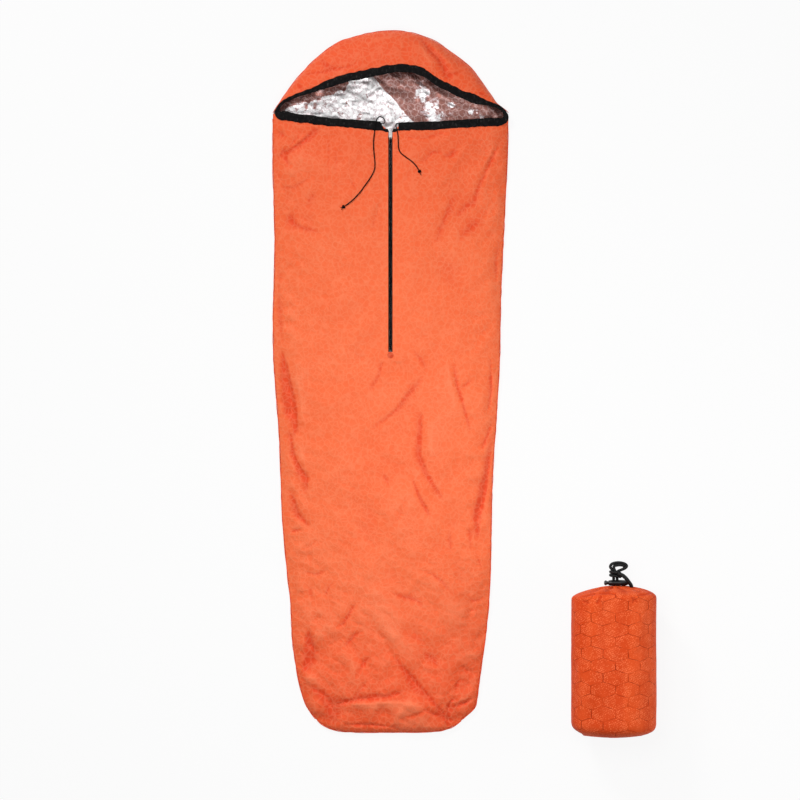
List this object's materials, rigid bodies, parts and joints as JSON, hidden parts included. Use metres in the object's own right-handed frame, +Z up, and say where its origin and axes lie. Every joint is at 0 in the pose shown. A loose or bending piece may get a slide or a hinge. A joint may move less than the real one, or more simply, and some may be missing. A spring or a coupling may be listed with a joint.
{
  "type": "emergency sleeping bag",
  "caption": "Orange mummy-shaped emergency sleeping bag with a silver foil lining, a centre zip, a drawcord hood and a filled stuff sack.",
  "frame": {"origin": "on the floor, under the middle of the laid-out bag, on the flat underside of its back panel", "axes": "+Y along the bag towards its hood, +Z up from the floor, +X towards the side where the stuff sack lies"},
  "size_m": [1.1389, 2.1119, 0.2476],
  "materials": {
    "orange_fabric": "satin hexagon-embossed film fabric",
    "silver_foil": "crinkled vacuum-metallised film",
    "black_tape": "woven tape",
    "black_cord": "braided cord",
    "zip_plastic": "moulded",
    "zip_metal": "die cast, plated",
    "sack_fabric": "satin hexagon ripstop",
    "folded_film": "rolled film fabric",
    "lock_plastic": "moulded",
    "spring_steel": "bright wire"
  },
  "bodies": {
    "bag": {"back_panel": "orange_fabric", "front_panel": "orange_fabric", "hood_panel": "orange_fabric", "back_lining": "silver_foil", "front_lining": "silver_foil", "hood_lining": "silver_foil", "hood_binding": "black_tape", "chest_binding_left": "black_tape", "chest_binding_right": "black_tape", "channel_corner_left": "black_tape", "channel_corner_right": "black_tape", "drawcord_in_channel": "black_cord", "drawcord_left": "black_cord", "drawcord_left_knot": "black_cord", "drawcord_right": "black_cord", "drawcord_right_knot": "black_cord", "side_seam_left": "orange_fabric", "side_seam_right": "orange_fabric", "hood_seam": "orange_fabric", "foot_seam": "orange_fabric", "zip_tape_left": "black_tape", "zip_tape_right": "black_tape", "zip_teeth_left": "zip_plastic", "zip_teeth_right": "zip_plastic", "zip_bottom_stop": "zip_metal", "zip_end_patch": "orange_fabric"},
    "zip_slider": {"zip_slider": "zip_metal"},
    "zip_pull": {"zip_pull_tab": "zip_metal"},
    "stuff_sack": {"sack_wall": "sack_fabric", "sack_base": "sack_fabric", "sack_base_seam": "sack_fabric", "sack_collar": "sack_fabric", "sack_hem": "sack_fabric", "packed_bundle": "folded_film", "sack_cord": "black_cord", "sack_cord_knot": "black_cord"},
    "cord_lock": {"cord_lock_body": "lock_plastic", "cord_lock_spring": "spring_steel"},
    "lock_button": {"cord_lock_button": "lock_plastic"}
  },
  "joints": [
    {"name": "zip_run", "type": "slide", "parent": "bag", "child": "zip_slider", "axis": [0, -1, 0], "range_m": [0, 0.63], "deforming": ["zip_teeth_left", "zip_teeth_right"]},
    {"name": "pull_swing", "type": "hinge", "parent": "zip_slider", "child": "zip_pull", "pos_m": [0, 0.733, 0.0621], "axis": [1, 0, 0], "range_deg": [0, 168]},
    {"name": "sack_lift", "type": "slide", "parent": "bag", "child": "stuff_sack", "axis": [0, 0, 1], "range_m": [0, 0.3]},
    {"name": "lock_run", "type": "slide", "parent": "stuff_sack", "child": "cord_lock", "axis": [0, 1, 0], "range_m": [0, 0.004]},
    {"name": "button_press", "type": "slide", "parent": "cord_lock", "child": "lock_button", "axis": [1, 0, 0], "range_m": [0, 0.006], "stiffness_N_per_m": 400, "springref_m": -0.002, "deforming": ["cord_lock_spring"]}
  ]
}
